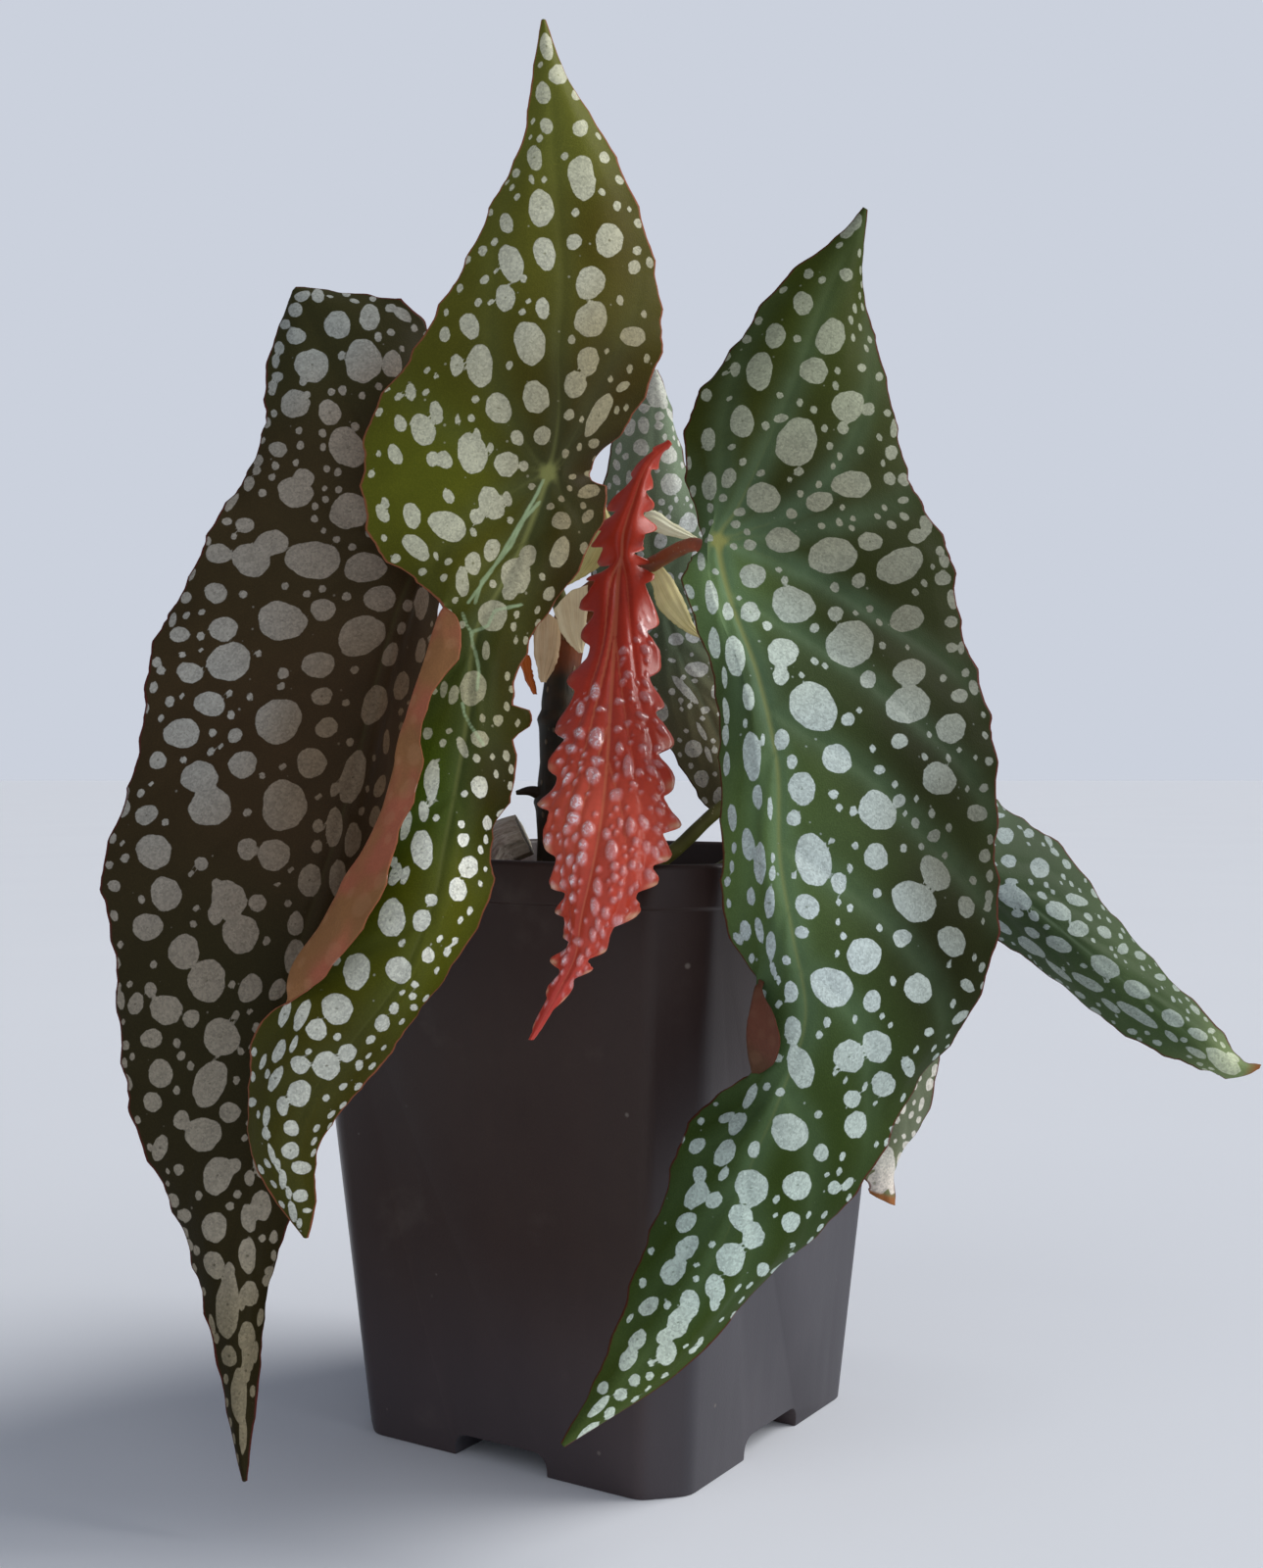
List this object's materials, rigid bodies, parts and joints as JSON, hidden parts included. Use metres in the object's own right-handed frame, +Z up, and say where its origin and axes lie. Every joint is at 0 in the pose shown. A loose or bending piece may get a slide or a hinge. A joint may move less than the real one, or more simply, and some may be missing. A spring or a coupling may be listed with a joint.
{
  "type": "potted polka dot begonia",
  "caption": "Begonia with long silver-spotted leaves, a young toothed red leaf and papery stipules on a short dark cane, in a square tapering nursery pot of soil.",
  "frame": {"origin": "centre of the whole part's box in plan, on the plane that the pot's feet stand on", "axes": "+Z up; the plant's face, with the upper sides of its leaves, looks towards -Y; +X to the viewer's right, where the far leaf reaches out"},
  "size_m": [0.262, 0.167, 0.304],
  "materials": {
    "pot_plastic": "satin dark grey, thin moulded plastic",
    "soil": "dark crumbly potting mix",
    "cane": "semi-gloss living stem",
    "dry_stub": "dry, ridged, dull",
    "leaf_olive": "satin leaf with silver-taupe spots",
    "leaf_bright": "satin leaf with pale spots",
    "leaf_deep": "satin leaf with silver spots and a silver ridge",
    "leaf_blue": "satin blue-green leaf with pale spots",
    "leaf_red": "glossy young leaf with raised pink blisters",
    "paper_ivory": "papery, matt",
    "paper_tan": "papery, dry",
    "paper_rust": "papery, dry, torn",
    "paper_pale": "thin, waxy",
    "paper_yellow_green": "thin, waxy"
  },
  "bodies": {
    "root": {"pot": "pot_plastic", "soil": "soil", "cane": "cane", "old_stub": "dry_stub", "leaf_left": "leaf_olive", "leaf_centre": "leaf_bright", "leaf_right": "leaf_deep", "leaf_back": "leaf_blue", "leaf_far_right": "leaf_blue", "leaf_low_right": "leaf_blue", "leaf_new_red": "leaf_red", "stipule_ivory": "paper_ivory", "stipule_tan": "paper_tan", "stipule_rust": "paper_rust", "stipule_pale": "paper_pale", "stipule_hanging": "paper_yellow_green", "stipule_green": "paper_yellow_green"}
  },
  "joints": []
}
